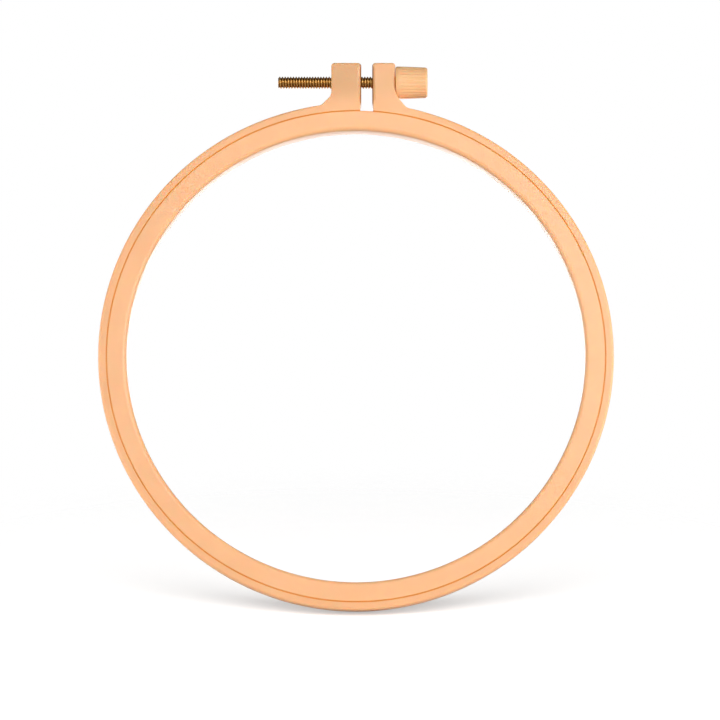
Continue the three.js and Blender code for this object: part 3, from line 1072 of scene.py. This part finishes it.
hoop_lamps = [
    panel("key_right", (0.52, -0.5, 0.17), (0.14, 0.4), 2.1, hoop_centre),
    panel("key_left", (-0.5, -0.6, 0.02), (0.14, 0.4), 0.6, hoop_centre),
    panel("front", (-0.05, -0.9, 0.56), (0.5, 0.4), 0.9, hoop_centre),
    panel("gloss_right", (0.2, -0.75, 0.28), (0.2, 0.2), 1.3, hoop_centre),
    panel("gloss_left", (-0.28, -0.75, 0.2), (0.2, 0.3), 0.85, hoop_centre),
    panel("side_left", (-0.9, 0.0, 0.05), (0.04, 0.6), 3.6, hoop_centre),
    panel("side_right", (0.9, 0.0, 0.08), (0.04, 0.6), 3.4, hoop_centre),
    panel("beside_lens", (0.0, -1.35, -0.17), (0.25, 0.08), 0.25, hoop_centre),
    panel("behind", (0.0, 1.2, 0.07), (0.8, 0.6), 4.5, hoop_centre),
]
print("panels for the hoop:", len(hoop_lamps))

# %% [markdown]
# The world is white to the camera, so the background is clean. As a lamp it is dimmer, and so it
# is in reflections, because a white room all round washes out the brass. Towards the ceiling it
# is dimmer still, which leaves the undersides of the lugs and the knob some shape.

# %% World
HORIZON_FILL = 0.47
MIRROR_FILL = 0.4
CEILING_SHARE = 0.28
CEILING_BAND = (0.1, 0.55)

world = bpy.data.worlds.new("studio")
bpy.context.scene.world = world
world.use_nodes = True
tree = world.node_tree
tree.nodes.clear()
direction = node(tree, "ShaderNodeTexCoord")
height = node(tree, "ShaderNodeSeparateXYZ")
rays = node(tree, "ShaderNodeLightPath")
background = node(tree, "ShaderNodeBackground")
background.inputs["Color"].default_value = (1, 1, 1, 1)
world_output = node(tree, "ShaderNodeOutputWorld")
tree.links.new(direction.outputs["Generated"], height.inputs["Vector"])
ceiling = mapped(tree, height.outputs["Z"], CEILING_BAND, (1, CEILING_SHARE), "SMOOTHSTEP")
is_glossy, is_through = rays.outputs["Is Glossy Ray"], rays.outputs["Is Transmission Ray"]
mirrored = maths(tree, "MAXIMUM", is_glossy, is_through)
level = mapped(tree, mirrored, (0, 1), (HORIZON_FILL, MIRROR_FILL))
as_lamp = maths(tree, "MULTIPLY", level, ceiling)
strength = maths(tree, "MAXIMUM", as_lamp, rays.outputs["Is Camera Ray"])
tree.links.new(strength, background.inputs["Strength"])
tree.links.new(background.outputs["Background"], world_output.inputs["Surface"])
bpy.context.scene.view_settings.view_transform = "Standard"
print("nodes in the world:", len(tree.nodes))

# %% [markdown]
# ## The floor
# In the photograph the hoop leans back on the rear edge of its rim. In the frame it stands
# upright, so the floor is tilted instead: it touches the rear edge of the rim and rises behind
# it. Part of the light that the camera sees on it is its own, so that the shadow stays as faint
# as in the photograph. To other rays it is a plain dull white, which throws less light back. It
# fades out round the hoop, so no edge of it shows, and from below it isn't there at all.

# %% Floor
FLOOR_VIEW = math.radians(12)
FLOOR_SIZE = 0.9
FLOOR_KEEP = 0.1
FLOOR_END = 0.19
UNDER_RIM = 0.05 * MM
OWN_LIGHT = 0.43
SHADE_SHARE = 0.6
THROWN_BACK = 0.55

floor_tilt = FLOOR_VIEW + CAMERA_DROP
floor_normal = Vector((0, -math.sin(floor_tilt), math.cos(floor_tilt)))
rear_round = Vector((0, back - RIM_EDGE, RIM_EDGE))
floor_touch = rear_round - floor_normal * (RIM_EDGE + UNDER_RIM)
floor = started(
    "floor", bpy.ops.mesh.primitive_plane_add, size=FLOOR_SIZE, location=floor_touch,
    rotation=(floor_tilt, 0, 0),
)
bpy.ops.object.mode_set(mode="OBJECT")
print("floor tilt in degrees:", round(math.degrees(floor_tilt), 1))

# %% Floor paint
floor_paint, tree, shader = new_material("floor_paint")
tree.nodes.remove(shader)
floor_output = tree.nodes["Material Output"]
floor_rays = node(tree, "ShaderNodeLightPath")
geometry = node(tree, "ShaderNodeNewGeometry")
floor_place = node(tree, "ShaderNodeTexCoord")
from_middle = node(tree, "ShaderNodeVectorMath", operation="LENGTH")
white = node(tree, "ShaderNodeBsdfDiffuse")
glow = node(tree, "ShaderNodeEmission")
clear = node(tree, "ShaderNodeBsdfTransparent")
lit = node(tree, "ShaderNodeAddShader")
faded = node(tree, "ShaderNodeMixShader")
seen = floor_rays.outputs["Is Camera Ray"]
tree.links.new(mapped(tree, seen, (0, 1), (THROWN_BACK, SHADE_SHARE)), white.inputs["Color"])
tree.links.new(maths(tree, "MULTIPLY", seen, OWN_LIGHT), glow.inputs["Strength"])
tree.links.new(white.outputs["BSDF"], lit.inputs[0])
tree.links.new(glow.outputs["Emission"], lit.inputs[1])
tree.links.new(floor_place.outputs["Object"], from_middle.inputs[0])
fade_band = (FLOOR_KEEP, FLOOR_END)
fade = mapped(tree, from_middle.outputs["Value"], fade_band, (0, 1), "SMOOTHSTEP")
unseen = maths(tree, "MAXIMUM", fade, geometry.outputs["Backfacing"])
tree.links.new(unseen, faded.inputs["Fac"])
tree.links.new(lit.outputs["Shader"], faded.inputs[1])
tree.links.new(clear.outputs["BSDF"], faded.inputs[2])
tree.links.new(faded.outputs["Shader"], floor_output.inputs["Surface"])
floor.data.materials.append(floor_paint)
print("nodes in the floor paint:", len(tree.nodes))

# %% [markdown]
# The panels that light the hoop would throw a long shadow to one side. In the photograph the
# shadow is soft and even, so the floor gets a wide panel of its own, in front and above. Light
# linking keeps that panel off the hoop and the other panels off the floor.

# %% Light linking
FLOOR_POWER = 44

ground = bpy.data.collections.new("ground")
ground.objects.link(floor)
all_but_ground = bpy.data.collections.new("all_but_ground")
all_but_ground.objects.link(floor)
all_but_ground.collection_objects[0].light_linking.link_state = "EXCLUDE"
for lamp_object in hoop_lamps:
    lamp_object.light_linking.receiver_collection = all_but_ground
floor_lamp = panel("floor_light", (0.0, -1.17, 0.26), (3.0, 0.6), FLOOR_POWER, floor_touch)
floor_lamp.light_linking.receiver_collection = ground
print("panel for the floor in watts:", FLOOR_POWER)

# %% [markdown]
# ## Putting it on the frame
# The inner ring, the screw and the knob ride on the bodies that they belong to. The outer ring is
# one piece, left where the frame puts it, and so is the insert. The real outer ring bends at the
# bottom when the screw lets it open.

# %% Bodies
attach(inner_ring, "inner")
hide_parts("inner_ring")
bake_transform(outer_ring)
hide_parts("outer_ring_right", "outer_ring_left")
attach(clamp_screw, "screw_and_knob")
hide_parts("clamp_screw")
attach(knob, "screw_and_knob")
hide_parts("knob")
